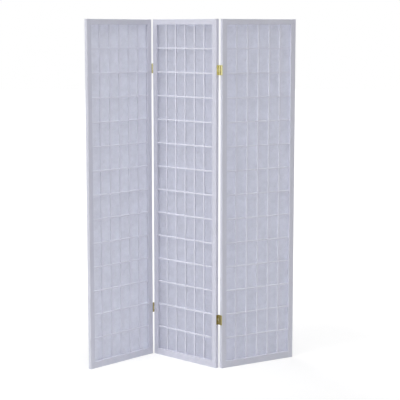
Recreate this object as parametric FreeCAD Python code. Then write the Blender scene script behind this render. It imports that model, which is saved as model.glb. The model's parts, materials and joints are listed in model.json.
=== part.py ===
import FreeCAD, Part
import os

# A three-panel shoji folding screen: painted wooden frames with a lattice of
# thin strips over translucent paper, joined by two-way brass screen hinges.
#
# Every length is in millimetres and every angle in degrees.  The screen is
# first laid out unfolded, as one straight row of panels: X runs along the row
# with x = 0 at the centre panel's left end, Y runs from the front face at
# y = 0 to the back face, and Z runs up from the floor.  The folds then bring
# it to its standing pose.

# ---- Panel ----
PANEL_WIDTH = 445.0
PANEL_HEIGHT = 1785.0
PANEL_THICKNESS = 19.0
STILE_WIDTH = 28.0
TOP_RAIL_HEIGHT = 28.0
BOTTOM_RAIL_HEIGHT = 35.0
EDGE_ROUND = 1.5

# ---- Lattice and paper ----
COLUMNS = 6
ROWS = 14
STRIP_WIDTH = 7.0
STRIP_DEPTH = 7.5
STRIP_RECESS = 6.0
STRIP_HOUSING = 3.0
STRIP_FIT = 0.05
PAPER_THICKNESS = 0.4
PAPER_FIT = 0.05
GROOVE_DEPTH = 4.0
GROOVE_END_GAP = 1.0

# ---- Corner dowels ----
DOWEL_DIAMETER = 6.0
DOWEL_LENGTH = 36.0
DOWEL_EDGE_MARGIN = 8.0
DOWEL_FIT = 0.05
DOWEL_END_GAP = 0.5

# ---- Two-way hinges ----
HINGE_INSET = 254.0
HINGE_LENGTH = 50.0
PANEL_GAP = 8.0
PIN_OFFSET = 1.0
PIN_DIAMETER = 3.0
PIN_HEAD_DIAMETER = 5.0
PIN_HEAD_HEIGHT = 0.8
KNUCKLE_DIAMETER = 7.2
KNUCKLES_PER_PIN = 3
KNUCKLE_GAP = 0.2
LEAF_THICKNESS = 1.2
LINK_THICKNESS = 1.2
SWING_CLEARANCE = 0.4
PIN_PRESS_FIT = 0.02
PIN_RUNNING_FIT = 0.06

# ---- Hinge screws ----
SCREW_SPACING = 22.0
SCREW_DIAMETER = 3.0
SCREW_LENGTH = 16.0
SCREW_POINT = 3.0
SCREW_HEAD_DIAMETER = 5.4
SCREW_FIT = 0.02
RECESS_LENGTH = 3.0
RECESS_WIDTH = 0.8
RECESS_DEPTH = 0.9
ACCESS_HOLE_CLEARANCE = 0.8

# ---- Standing pose ----
LEFT_FOLD_ANGLE = 89.0
RIGHT_FOLD_ANGLE = 73.5
CENTRE_TURN_ANGLE = 42.5

# ---- Sizes that follow from the ones above ----
INNER_WIDTH = PANEL_WIDTH - 2 * STILE_WIDTH
INNER_HEIGHT = PANEL_HEIGHT - TOP_RAIL_HEIGHT - BOTTOM_RAIL_HEIGHT
COLUMN_PITCH = (INNER_WIDTH + STRIP_WIDTH) / COLUMNS
ROW_PITCH = (INNER_HEIGHT + STRIP_WIDTH) / ROWS
PAPER_Y = STRIP_RECESS + STRIP_DEPTH
HALF_GAP = PANEL_GAP / 2
MID_THICKNESS = PANEL_THICKNESS / 2
KNUCKLE_RADIUS = KNUCKLE_DIAMETER / 2
FRONT_PIN_Y = -PIN_OFFSET
BACK_PIN_Y = PANEL_THICKNESS + PIN_OFFSET
HINGE_LEVELS = {
    "lower": HINGE_INSET,
    "upper": PANEL_HEIGHT - HINGE_INSET,
}
LEFT_JUNCTION_X = -HALF_GAP
RIGHT_JUNCTION_X = PANEL_WIDTH + HALF_GAP

UP = FreeCAD.Vector(0, 0, 1)
ALONG = FreeCAD.Vector(1, 0, 0)


# ---- Small helpers ----

def block(x, y, z):
    """A box between the (low, high) limits given for each axis."""
    size = [high - low for low, high in (x, y, z)]
    return Part.makeBox(*size, FreeCAD.Vector(x[0], y[0], z[0]))


def moved(shape, x=0.0, y=0.0, z=0.0):
    """A copy of a shape, moved."""
    return shape.translated(FreeCAD.Vector(x, y, z))


def turned(shape, angle, x, y):
    """A copy of a shape, turned about an upright axis."""
    return shape.rotated(FreeCAD.Vector(x, y, 0), UP, angle)


def mirrored_in_panel(shape):
    """A copy of a shape, mirrored left to right within its panel."""
    return shape.mirror(FreeCAD.Vector(PANEL_WIDTH / 2, 0, 0), ALONG)


def rounded(shape, radius, wanted):
    """Round the straight edges of a shape whose middle point passes a test."""
    edges = [edge for edge in shape.Edges if wanted(edge.CenterOfMass)]
    return shape.makeFillet(radius, edges)


# ---- Lattice ----

def upright_places():
    """The left side of each upright strip."""
    first = STILE_WIDTH + COLUMN_PITCH - STRIP_WIDTH
    return [first + i * COLUMN_PITCH for i in range(COLUMNS - 1)]


def crossbar_places():
    """The underside of each crossbar."""
    first = BOTTOM_RAIL_HEIGHT + ROW_PITCH - STRIP_WIDTH
    return [first + i * ROW_PITCH for i in range(ROWS - 1)]


def lap_cuts(y_limits):
    """Notches at every crossing, between two depths, wide enough for a strip."""
    cuts = []
    for x in upright_places():
        for z in crossbar_places():
            across = (x - STRIP_FIT, x + STRIP_WIDTH + STRIP_FIT)
            height = (z - STRIP_FIT, z + STRIP_WIDTH + STRIP_FIT)
            cuts.append(block(across, y_limits, height))
    return Part.makeCompound(cuts)


def lattice_uprights():
    """The upright strips, each half-lapped over the crossbars from the front."""
    bottom = BOTTOM_RAIL_HEIGHT - STRIP_HOUSING
    top = PANEL_HEIGHT - TOP_RAIL_HEIGHT + STRIP_HOUSING
    lap_y = STRIP_RECESS + STRIP_DEPTH / 2
    notches = lap_cuts((lap_y, PAPER_Y))
    strips = []
    for x in upright_places():
        strip = block((x, x + STRIP_WIDTH), (STRIP_RECESS, PAPER_Y), (bottom, top))
        strips += strip.cut(notches).Solids
    return Part.makeCompound(strips)


def lattice_crossbars():
    """The crossbars, notched on their front half for the uprights."""
    left = STILE_WIDTH - STRIP_HOUSING
    right = PANEL_WIDTH - left
    lap_y = STRIP_RECESS + STRIP_DEPTH / 2
    notches = lap_cuts((STRIP_RECESS, lap_y))
    strips = []
    for z in crossbar_places():
        strip = block((left, right), (STRIP_RECESS, PAPER_Y), (z, z + STRIP_WIDTH))
        strips += strip.cut(notches).Solids
    return Part.makeCompound(strips)


def housing_y():
    """Front-to-back limits of the pockets that hold the strips' ends."""
    return STRIP_RECESS - STRIP_FIT, PAPER_Y + STRIP_FIT


# ---- Paper ----

def paper_sheet():
    """The paper, behind the lattice, with its edges in the frame's grooves."""
    reach = GROOVE_DEPTH - GROOVE_END_GAP
    x = (STILE_WIDTH - reach, PANEL_WIDTH - STILE_WIDTH + reach)
    z = (BOTTOM_RAIL_HEIGHT - reach, PANEL_HEIGHT - TOP_RAIL_HEIGHT + reach)
    return block(x, (PAPER_Y, PAPER_Y + PAPER_THICKNESS), z)


def paper_groove():
    """The space that the paper's edges take up inside the whole frame."""
    x = (STILE_WIDTH - GROOVE_DEPTH, PANEL_WIDTH - STILE_WIDTH + GROOVE_DEPTH)
    z = (BOTTOM_RAIL_HEIGHT - GROOVE_DEPTH, PANEL_HEIGHT - TOP_RAIL_HEIGHT + GROOVE_DEPTH)
    return block(x, (PAPER_Y - PAPER_FIT, PAPER_Y + PAPER_THICKNESS + PAPER_FIT), z)


# ---- Corner dowels ----

def dowel_heights():
    """The height of each dowel: two in the bottom rail, two in the top rail."""
    rail_top = PANEL_HEIGHT - TOP_RAIL_HEIGHT
    return [
        DOWEL_EDGE_MARGIN,
        BOTTOM_RAIL_HEIGHT - DOWEL_EDGE_MARGIN,
        rail_top + DOWEL_EDGE_MARGIN,
        PANEL_HEIGHT - DOWEL_EDGE_MARGIN,
    ]


def dowels_at_left(radius, length):
    """Round bars across the left stile's joints with the rails."""
    start = STILE_WIDTH - length / 2
    bars = []
    for z in dowel_heights():
        centre = FreeCAD.Vector(start, MID_THICKNESS, z)
        bars.append(Part.makeCylinder(radius, length, centre, ALONG))
    return bars


def corner_dowels():
    """All eight dowels of a panel."""
    left = dowels_at_left(DOWEL_DIAMETER / 2, DOWEL_LENGTH)
    right = [mirrored_in_panel(bar) for bar in left]
    return Part.makeCompound(left + right)


def dowel_holes():
    """The holes for the dowels, at both sides of a panel."""
    radius = DOWEL_DIAMETER / 2 + DOWEL_FIT
    left = dowels_at_left(radius, DOWEL_LENGTH + 2 * DOWEL_END_GAP)
    right = [mirrored_in_panel(bar) for bar in left]
    return Part.makeCompound(left + right)


# ---- Frame ----

def left_stile(hinged):
    """The stile at a panel's left end; a hinged one has holes for screws."""
    body = block((0, STILE_WIDTH), (0, PANEL_THICKNESS), (0, PANEL_HEIGHT))
    body = rounded(body, EDGE_ROUND, lambda middle: middle.x < STILE_WIDTH / 2
                   and abs(middle.z - PANEL_HEIGHT / 2) < STILE_WIDTH
                   and abs(middle.y - MID_THICKNESS) > MID_THICKNESS / 2)
    cuts = [paper_groove(), dowel_holes()]
    pocket_x = (STILE_WIDTH - STRIP_HOUSING - STRIP_FIT, STILE_WIDTH)
    for z in crossbar_places():
        height = (z - STRIP_FIT, z + STRIP_WIDTH + STRIP_FIT)
        cuts.append(block(pocket_x, housing_y(), height))
    if hinged:
        for level in HINGE_LEVELS.values():
            holes = turned(screw_holes(), 180, 0, MID_THICKNESS)
            cuts.append(moved(holes, x=-HALF_GAP, z=level))
    return body.cut(cuts)


def right_stile(hinged):
    """The stile at a panel's right end."""
    return mirrored_in_panel(left_stile(hinged))


def rail(z_limits, rounded_z, pocket_z):
    """A rail between the stiles, rounded along one edge, with strip pockets."""
    x = (STILE_WIDTH, PANEL_WIDTH - STILE_WIDTH)
    body = block(x, (0, PANEL_THICKNESS), z_limits)
    body = rounded(body, EDGE_ROUND, lambda middle: abs(middle.x - PANEL_WIDTH / 2) < STILE_WIDTH
                   and abs(middle.z - rounded_z) < EDGE_ROUND)
    cuts = [paper_groove(), dowel_holes()]
    for x_place in upright_places():
        across = (x_place - STRIP_FIT, x_place + STRIP_WIDTH + STRIP_FIT)
        cuts.append(block(across, housing_y(), pocket_z))
    return body.cut(cuts)


def bottom_rail():
    """The rail that stands on the floor."""
    pocket = (BOTTOM_RAIL_HEIGHT - STRIP_HOUSING - STRIP_FIT, BOTTOM_RAIL_HEIGHT)
    return rail((0, BOTTOM_RAIL_HEIGHT), 0, pocket)


def top_rail():
    """The rail along the top."""
    underside = PANEL_HEIGHT - TOP_RAIL_HEIGHT
    pocket = (underside, underside + STRIP_HOUSING + STRIP_FIT)
    return rail((underside, PANEL_HEIGHT), PANEL_HEIGHT, pocket)


def panel_pieces(left_hinged, right_hinged):
    """Every wooden and paper piece of one panel, by name."""
    return {
        "left_stile": left_stile(left_hinged),
        "right_stile": right_stile(right_hinged),
        "top_rail": top_rail(),
        "bottom_rail": bottom_rail(),
        "lattice_uprights": lattice_uprights(),
        "lattice_crossbars": lattice_crossbars(),
        "paper": paper_sheet(),
        "dowels": corner_dowels(),
    }


# ---- Two-way hinge ----
# A hinge is made about the middle of the gap between two panels: x = 0 midway
# between their ends and z = 0 at its own mid-height.  The leaf on the left-hand
# panel turns on the back pin and the leaf on the right-hand panel on the front
# pin.  One is the other turned half way round the hinge's middle.

def half_turn(shape):
    """Turn a shape of the back half of a hinge into its front twin."""
    return turned(shape, 180, 0, MID_THICKNESS)


def knuckle_limits(index):
    """The lowest and highest point of one knuckle on a pin."""
    length = HINGE_LENGTH / KNUCKLES_PER_PIN
    low = -HINGE_LENGTH / 2 + index * length
    bottom = low if index == 0 else low + KNUCKLE_GAP / 2
    top = low + length
    if index < KNUCKLES_PER_PIN - 1:
        top -= KNUCKLE_GAP / 2
    return bottom, top


def knuckle(index, pin_y):
    """A knuckle, still solid, round a pin."""
    bottom, top = knuckle_limits(index)
    centre = FreeCAD.Vector(0, pin_y, bottom)
    return Part.makeCylinder(KNUCKLE_RADIUS, top - bottom, centre)


def bore(pin_y, fit):
    """The hole for a pin, right through the hinge."""
    centre = FreeCAD.Vector(0, pin_y, -HINGE_LENGTH)
    return Part.makeCylinder(PIN_DIAMETER / 2 + fit, 2 * HINGE_LENGTH, centre)


def screw_heights():
    """The heights of a leaf's screws."""
    return -SCREW_SPACING / 2, SCREW_SPACING / 2


def screw_body(fit, head_reach):
    """A screw's countersunk head, shank and point, pointing along -X."""
    radius = SCREW_DIAMETER / 2 + fit
    head_radius = SCREW_HEAD_DIAMETER / 2 + fit
    back = FreeCAD.Vector(-1, 0, 0)
    shank_length = SCREW_LENGTH - SCREW_POINT
    shank_start = FreeCAD.Vector(-LEAF_THICKNESS, 0, 0)
    point_start = FreeCAD.Vector(-shank_length, 0, 0)
    head = Part.makeCone(head_radius, radius, LEAF_THICKNESS, FreeCAD.Vector(), back)
    shank = Part.makeCylinder(radius, shank_length - LEAF_THICKNESS, shank_start, back)
    point = Part.makeCone(radius, fit, SCREW_POINT, point_start, back)
    body = head.fuse([shank, point])
    if head_reach > 0:
        reach = Part.makeCylinder(head_radius, head_reach, FreeCAD.Vector(), ALONG)
        body = body.fuse(reach)
    return body.removeSplitter()


def at_screw_places(shape):
    """Copies of a shape at both screws of the left-hand leaf's outer face."""
    face_x = -HALF_GAP + LEAF_THICKNESS
    return [moved(shape, face_x, MID_THICKNESS, z) for z in screw_heights()]


def screw_holes():
    """The holes that the left-hand leaf's screws need in leaf and stile."""
    return Part.makeCompound(at_screw_places(screw_body(SCREW_FIT, 0)))


def screws():
    """The two countersunk cross-head screws of the left-hand leaf."""
    screw = screw_body(0, 0)
    depth = (-RECESS_DEPTH, RECESS_DEPTH)
    arm = (-RECESS_LENGTH / 2, RECESS_LENGTH / 2)
    slot = (-RECESS_WIDTH / 2, RECESS_WIDTH / 2)
    screw = screw.cut([block(depth, arm, slot), block(depth, slot, arm)])
    return Part.makeCompound(at_screw_places(screw))


def back_leaf():
    """The leaf on the left-hand panel, with the outer knuckles of the back pin."""
    free_edge = FRONT_PIN_Y + KNUCKLE_RADIUS + 2 * SWING_CLEARANCE
    notch_edge = BACK_PIN_Y - KNUCKLE_RADIUS - SWING_CLEARANCE
    plate_x = (-HALF_GAP, -HALF_GAP + LEAF_THICKNESS)
    half = HINGE_LENGTH / 2
    plate = block(plate_x, (free_edge, BACK_PIN_Y), (-half, half))
    outer = [i for i in range(KNUCKLES_PER_PIN) if i % 2 == 0]
    leaf = plate.fuse([knuckle(i, BACK_PIN_Y) for i in outer])
    cuts = [bore(BACK_PIN_Y, PIN_PRESS_FIT), screw_holes()]
    for i in range(1, KNUCKLES_PER_PIN, 2):
        bottom, top = knuckle_limits(i)
        notch_z = (bottom - KNUCKLE_GAP, top + KNUCKLE_GAP)
        notch_y = (notch_edge, BACK_PIN_Y + KNUCKLE_DIAMETER)
        cuts.append(block((-PANEL_GAP, PANEL_GAP), notch_y, notch_z))
    return leaf.cut(cuts).removeSplitter()


def link_plate():
    """The plate between the leaves, with the middle knuckle of both pins."""
    reach = KNUCKLE_RADIUS + SWING_CLEARANCE
    x = (-LINK_THICKNESS / 2, LINK_THICKNESS / 2)
    half = HINGE_LENGTH / 2
    plate = block(x, (FRONT_PIN_Y + reach, BACK_PIN_Y - reach), (-half, half))
    pieces = []
    for i in range(1, KNUCKLES_PER_PIN, 2):
        pieces += [knuckle(i, FRONT_PIN_Y), knuckle(i, BACK_PIN_Y)]
        pieces.append(block(x, (FRONT_PIN_Y, BACK_PIN_Y), knuckle_limits(i)))
    access_radius = SCREW_HEAD_DIAMETER / 2 + ACCESS_HOLE_CLEARANCE
    cuts = [bore(pin_y, PIN_RUNNING_FIT) for pin_y in (FRONT_PIN_Y, BACK_PIN_Y)]
    for z in screw_heights():
        start = FreeCAD.Vector(-LINK_THICKNESS, MID_THICKNESS, z)
        cuts.append(Part.makeCylinder(access_radius, 2 * LINK_THICKNESS, start, ALONG))
    return plate.fuse(pieces).cut(cuts).removeSplitter()


def back_pin():
    """The back pin, with a flat head over the top knuckle."""
    half = HINGE_LENGTH / 2
    foot = FreeCAD.Vector(0, BACK_PIN_Y, -half)
    top = FreeCAD.Vector(0, BACK_PIN_Y, half)
    shank = Part.makeCylinder(PIN_DIAMETER / 2, HINGE_LENGTH, foot)
    head = Part.makeCylinder(PIN_HEAD_DIAMETER / 2, PIN_HEAD_HEIGHT, top)
    return shank.fuse(head).removeSplitter()


def hinge_pieces():
    """Every piece of one hinge, by name."""
    return {
        "back_leaf": back_leaf(),
        "front_leaf": half_turn(back_leaf()),
        "link": link_plate(),
        "back_pin": back_pin(),
        "front_pin": half_turn(back_pin()),
        "back_leaf_screws": screws(),
        "front_leaf_screws": half_turn(screws()),
    }


# ---- Whole screen, unfolded ----

def unfolded_screen():
    """Every piece of the unfolded screen, as (side, name, shape)."""
    pitch = PANEL_WIDTH + PANEL_GAP
    pieces = []
    panels = (
        ("left", -pitch, False, True),
        ("centre", 0.0, True, True),
        ("right", pitch, True, False),
    )
    for side, x, left_hinged, right_hinged in panels:
        for name, shape in panel_pieces(left_hinged, right_hinged).items():
            pieces.append((side, side + "_" + name, moved(shape, x=x)))
    for side, x in (("left", LEFT_JUNCTION_X), ("right", RIGHT_JUNCTION_X)):
        held_by_centre = "front" if side == "left" else "back"
        for level, z in HINGE_LEVELS.items():
            for name, shape in hinge_pieces().items():
                moves_with = "centre" if name.startswith(held_by_centre) else side
                node = side + "_" + level + "_hinge_" + name
                pieces.append((moves_with, node, moved(shape, x=x, z=z)))
    return pieces


# ---- Standing pose ----

def folded(shape, side):
    """Fold a side panel's pieces to their standing pose, then turn the screen."""
    if side == "left":
        shape = turned(shape, LEFT_FOLD_ANGLE, LEFT_JUNCTION_X, FRONT_PIN_Y)
    if side == "right":
        shape = turned(shape, RIGHT_FOLD_ANGLE, RIGHT_JUNCTION_X, BACK_PIN_Y)
    return turned(shape, -CENTRE_TURN_ANGLE, 0, 0)


def footprint_centre(shapes):
    """The middle of the standing screen's footprint."""
    box = Part.makeCompound(shapes).optimalBoundingBox(False, False)
    return (box.XMin + box.XMax) / 2, (box.YMin + box.YMax) / 2


def main():
    os.makedirs("parts", exist_ok=True)
    standing = {node: folded(shape, side) for side, node, shape in unfolded_screen()}
    centre_x, centre_y = footprint_centre(list(standing.values()))
    for node, shape in standing.items():
        placed = moved(shape, -centre_x, -centre_y)
        placed.exportStep("parts/" + node + ".step")


main()
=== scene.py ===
import json
import math
import random

import bmesh
import bpy
from bpy.props import FloatProperty, FloatVectorProperty, IntProperty, PointerProperty
from mathutils import Matrix, Vector, noise

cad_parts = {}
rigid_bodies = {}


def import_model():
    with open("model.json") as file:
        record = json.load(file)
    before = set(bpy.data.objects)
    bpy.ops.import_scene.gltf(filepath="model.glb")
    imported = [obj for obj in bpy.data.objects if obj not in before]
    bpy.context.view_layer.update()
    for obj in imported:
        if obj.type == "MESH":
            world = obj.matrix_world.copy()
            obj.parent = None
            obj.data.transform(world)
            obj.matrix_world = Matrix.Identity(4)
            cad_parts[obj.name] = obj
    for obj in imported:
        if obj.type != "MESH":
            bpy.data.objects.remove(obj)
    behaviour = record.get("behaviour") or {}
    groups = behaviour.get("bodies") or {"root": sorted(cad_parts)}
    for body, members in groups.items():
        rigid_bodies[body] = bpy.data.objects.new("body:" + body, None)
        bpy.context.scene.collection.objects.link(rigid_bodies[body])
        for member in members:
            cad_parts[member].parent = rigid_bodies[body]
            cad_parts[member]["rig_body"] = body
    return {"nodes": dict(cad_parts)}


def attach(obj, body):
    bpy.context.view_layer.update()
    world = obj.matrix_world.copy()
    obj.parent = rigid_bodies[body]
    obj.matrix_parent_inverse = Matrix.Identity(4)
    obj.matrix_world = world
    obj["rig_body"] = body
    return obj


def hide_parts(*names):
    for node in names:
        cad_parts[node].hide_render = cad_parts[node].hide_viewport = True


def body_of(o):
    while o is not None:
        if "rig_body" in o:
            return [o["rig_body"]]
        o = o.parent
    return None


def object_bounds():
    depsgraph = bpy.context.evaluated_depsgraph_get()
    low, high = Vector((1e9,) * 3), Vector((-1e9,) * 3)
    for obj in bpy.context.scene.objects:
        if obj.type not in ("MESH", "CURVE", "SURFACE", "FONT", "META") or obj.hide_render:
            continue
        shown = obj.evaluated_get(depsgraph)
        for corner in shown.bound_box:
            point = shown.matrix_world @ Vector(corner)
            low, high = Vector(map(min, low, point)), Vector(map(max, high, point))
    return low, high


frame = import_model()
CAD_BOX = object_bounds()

bl_info = {
    "name": "Shoji Folding Screen",
    "version": (1, 0, 0),
    "blender": (4, 5, 0),
    "location": "3D View > Sidebar > Screen",
    "description": "Painted lattice panels, rice paper, brass hinges and a studio for a folding screen",
    "category": "Object",
}

# The screen has three equal panels.  A panel's own axes are X from its left end
# to its right end, Y from its front face to its back face, and Z up from the
# floor.  All lengths are in metres.

SIDES = ("left", "centre", "right")
SAME_PLACE = 1e-5
CUT_OVERSHOOT = 0.001
UP = Vector((0, 0, 1))

# The attribute that keeps a point's place in its own bar or sheet, and how far
# bars are moved in the grain's pattern so that no two look alike.
GRAIN = "own_place"
GRAIN_START_RANGE = 50
GRAIN_STEP_ALONG = 3.7
GRAIN_STEP_ACROSS = 0.31


# ---- Reading the frame ----

def corners(node):
    """The corner points of a CAD node."""
    return [vertex.co for vertex in frame["nodes"][node].data.vertices]


def mean(points):
    """The middle of some points."""
    return sum(points, Vector()) / len(points)


def panel_axes(side):
    """The matrix from a panel's own axes to the frame's, read from its paper and stiles."""
    sheet = corners(side + "_paper")
    middle_x = mean(sheet).x
    left_end = mean([point for point in sheet if point.x < middle_x])
    right_end = mean([point for point in sheet if point.x > middle_x])
    along = (right_end - left_end).normalized()
    turn = Matrix((along, UP.cross(along), UP)).transposed().to_4x4()
    stile = [turn.inverted() @ point for point in corners(side + "_left_stile")]
    low_x = min(point.x for point in stile)
    low_y = min(point.y for point in stile)
    return turn @ Matrix.Translation((low_x, low_y, 0))


PANEL_AXES = {side: panel_axes(side) for side in SIDES}


def own_corners(side, piece):
    """The corner points of a panel's CAD node, in the panel's own axes."""
    to_own = PANEL_AXES[side].inverted()
    return [to_own @ point for point in corners(side + "_" + piece)]


def limits(side, piece, axis):
    """The lowest and highest coordinate of a panel's CAD node on one own axis."""
    values = [point[axis] for point in own_corners(side, piece)]
    return min(values), max(values)


def levels(side, piece, axis):
    """The different coordinates of a panel's CAD node on one own axis, in order."""
    found = []
    for value in sorted(point[axis] for point in own_corners(side, piece)):
        if not found or value - found[-1] > SAME_PLACE:
            found.append(value)
    return found


def spans(values):
    """Pairs of low and high from a list that holds them in turn."""
    return list(zip(values[0::2], values[1::2]))


# ---- Node trees ----

class TreeSketch:
    """Adds nodes to a tree and feeds their inputs with values or with other nodes' outputs."""

    def __init__(self, tree):
        self.tree = tree

    def add(self, kind, feeds=None, **settings):
        """A new node with these settings and these values or outputs in its inputs."""
        node = self.tree.nodes.new(kind)
        for name, value in settings.items():
            setattr(node, name, value)
        for key, value in (feeds or {}).items():
            self.feed(node.inputs[key], value)
        return node

    def feed(self, socket, value):
        """Link another node's output to an input, or set the input's value."""
        if isinstance(value, bpy.types.NodeSocket):
            self.tree.links.new(value, socket)
        else:
            socket.default_value = value

    def math(self, operation, first, second=0.0, clamp=False):
        """The result of a math operation on two values."""
        node = self.add("ShaderNodeMath", {0: first, 1: second}, operation=operation, use_clamp=clamp)
        return node.outputs[0]

    def vector(self, x=0.0, y=0.0, z=0.0):
        """A vector from three values."""
        return self.add("ShaderNodeCombineXYZ", {"X": x, "Y": y, "Z": z}).outputs[0]


def geometry_tree(name, inputs):
    """A new geometry tree with these named inputs, as (tree, sketch, input sockets by name)."""
    tree = bpy.data.node_groups.new(name, "GeometryNodeTree")
    for label, kind in inputs:
        tree.interface.new_socket(label, in_out="INPUT", socket_type="NodeSocket" + kind)
    tree.interface.new_socket("Geometry", in_out="OUTPUT", socket_type="NodeSocketGeometry")
    sketch = TreeSketch(tree)
    entry = sketch.add("NodeGroupInput")
    return tree, sketch, {label: entry.outputs[label] for label, _ in inputs}


def finish_tree(sketch, geometry, material):
    """End a tree with realized instances in one material."""
    realized = sketch.add("GeometryNodeRealizeInstances", {"Geometry": geometry})
    feeds = {"Geometry": realized.outputs[0], "Material": material}
    painted = sketch.add("GeometryNodeSetMaterial", feeds)
    sketch.add("NodeGroupOutput", {"Geometry": painted.outputs[0]})


def mesh_from_tree(name, tree, values):
    """Run a geometry tree with these inputs and return the result as a plain mesh."""
    holder_mesh = bpy.data.meshes.new(name + "_holder")
    holder = bpy.data.objects.new(name + "_holder", holder_mesh)
    bpy.context.scene.collection.objects.link(holder)
    modifier = holder.modifiers.new("Tree", "NODES")
    modifier.node_group = tree
    for item in tree.interface.items_tree:
        if item.item_type == "SOCKET" and item.in_out == "INPUT":
            modifier[item.identifier] = values[item.name]
    bpy.context.view_layer.update()
    graph = bpy.context.evaluated_depsgraph_get()
    mesh = bpy.data.meshes.new_from_object(holder.evaluated_get(graph))
    mesh.name = name
    bpy.data.objects.remove(holder)
    bpy.data.meshes.remove(holder_mesh)
    return mesh


# ---- Wooden bars ----
# Stiles, rails and strips are all bars of one kind: a rounded section run along
# the bar's own Z, with notches at a steady pitch and, in the frame, a groove for
# the paper.  A row of like bars stands side by side along the bar's own X.

ROUND_STEPS = 3  # points in each rounded corner of the section
BAR_INPUTS = (
    ("Bar Length", "Float"),
    ("Bar Width", "Float"),
    ("Bar Depth", "Float"),
    ("Low Side Round", "Float"),
    ("High Side Round", "Float"),
    ("Round Steps", "Int"),
    ("Bar Count", "Int"),
    ("Bar Pitch", "Float"),
    ("Notch Count", "Int"),
    ("Notch Pitch", "Float"),
    ("First Notch", "Vector"),
    ("Notch Size", "Vector"),
    ("Grooved", "Bool"),
    ("Groove Place", "Vector"),
    ("Groove Size", "Vector"),
    ("Material", "Material"),
)


def bar_section(sketch, inputs):
    """A filled rectangle with a rounding of its own on each side."""
    rectangle = sketch.add("GeometryNodeCurvePrimitiveQuadrilateral",
                           {"Width": inputs["Bar Width"], "Height": inputs["Bar Depth"]})
    place = sketch.add("GeometryNodeInputPosition")
    across = sketch.add("ShaderNodeSeparateXYZ", {0: place.outputs[0]}).outputs["X"]
    on_high_side = sketch.math("GREATER_THAN", across)
    radius = sketch.add("GeometryNodeSwitch", {"Switch": on_high_side,
                                               "False": inputs["Low Side Round"],
                                               "True": inputs["High Side Round"]},
                        input_type="FLOAT")
    fillet = sketch.add("GeometryNodeFilletCurve", {"Curve": rectangle.outputs[0],
                                                    "Count": inputs["Round Steps"],
                                                    "Radius": radius.outputs[0]},
                        mode="POLY")
    return sketch.add("GeometryNodeFillCurve", {"Curve": fillet.outputs[0]}, mode="NGONS").outputs[0]


def solid_bar(sketch, inputs):
    """The section run up to the bar's length, closed at both ends."""
    section = bar_section(sketch, inputs)
    walls = sketch.add("GeometryNodeExtrudeMesh", {"Mesh": section,
                                                   "Offset": sketch.vector(z=1.0),
                                                   "Offset Scale": inputs["Bar Length"],
                                                   "Individual": False}, mode="FACES")
    foot = sketch.add("GeometryNodeFlipFaces", {"Mesh": section})
    join = sketch.add("GeometryNodeJoinGeometry")
    sketch.tree.links.new(walls.outputs[0], join.inputs[0])
    sketch.tree.links.new(foot.outputs[0], join.inputs[0])
    merge = sketch.add("GeometryNodeMergeByDistance", {"Geometry": join.outputs[0], "Distance": SAME_PLACE})
    return merge.outputs[0]


def cut_away(sketch, mesh, cutter):
    """One mesh less another."""
    cut = sketch.add("GeometryNodeMeshBoolean", {"Mesh 1": mesh, "Mesh 2": cutter},
                     operation="DIFFERENCE", solver="EXACT")
    return cut.outputs[0]


def notch_cutters(sketch, inputs):
    """Boxes at a steady pitch along the bar."""
    places = sketch.add("GeometryNodeMeshLine", {"Count": inputs["Notch Count"],
                                                 "Start Location": inputs["First Notch"],
                                                 "Offset": sketch.vector(z=inputs["Notch Pitch"])},
                        mode="OFFSET")
    box = sketch.add("GeometryNodeMeshCube", {"Size": inputs["Notch Size"]})
    copies = sketch.add("GeometryNodeInstanceOnPoints", {"Points": places.outputs[0],
                                                         "Instance": box.outputs[0]})
    return sketch.add("GeometryNodeRealizeInstances", {"Geometry": copies.outputs[0]}).outputs[0]


def groove_cutter(sketch, inputs):
    """One long box for the paper's edge."""
    box = sketch.add("GeometryNodeMeshCube", {"Size": inputs["Groove Size"]})
    return sketch.add("GeometryNodeTransform", {"Geometry": box.outputs[0],
                                                "Translation": inputs["Groove Place"]}).outputs[0]


def notched_bar_tree():
    """The tree that makes a row of notched bars, made once."""
    found = bpy.data.node_groups.get("Notched Bars")
    if found:
        return found
    tree, sketch, inputs = geometry_tree("Notched Bars", BAR_INPUTS)
    notched = cut_away(sketch, solid_bar(sketch, inputs), notch_cutters(sketch, inputs))
    grooved = cut_away(sketch, notched, groove_cutter(sketch, inputs))
    bar = sketch.add("GeometryNodeSwitch", {"Switch": inputs["Grooved"], "False": notched,
                                            "True": grooved}, input_type="GEOMETRY")
    row = sketch.add("GeometryNodeMeshLine", {"Count": inputs["Bar Count"],
                                              "Offset": sketch.vector(x=inputs["Bar Pitch"])},
                     mode="OFFSET")
    bars = sketch.add("GeometryNodeInstanceOnPoints", {"Points": row.outputs[0], "Instance": bar.outputs[0]})
    finish_tree(sketch, bars.outputs[0], inputs["Material"])
    return tree


def box_between(low, high):
    """The middle and the size of a box given by two corners."""
    low, high = Vector(low), Vector(high)
    return (low + high) / 2, high - low


def mark_grain(mesh, pitch, seed):
    """Keep each point's place along, across and through its own bar, so that the grain follows it.

    Each mesh starts at a place of its own in the pattern, and so does each bar of a row."""
    grain = mesh.attributes.new(GRAIN, "FLOAT_VECTOR", "POINT")
    start = random.Random(seed).uniform(0, GRAIN_START_RANGE)
    for vertex, value in zip(mesh.vertices, grain.data):
        bar = round(vertex.co.x / pitch) if pitch else 0
        along = vertex.co.z + start + GRAIN_STEP_ALONG * bar
        value.vector = (along, vertex.co.x + GRAIN_STEP_ACROSS * bar, vertex.co.y)


# ---- Pieces ----

def add_piece(name, mesh, side, node):
    """Put a finished mesh, given in a panel's own axes, in its place for one CAD node."""
    mesh.transform(PANEL_AXES[side])
    piece = bpy.data.objects.new(name, mesh)
    bpy.context.scene.collection.objects.link(piece)
    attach(piece, body_of(frame["nodes"][node])[0])
    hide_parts(node)
    return piece


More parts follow.
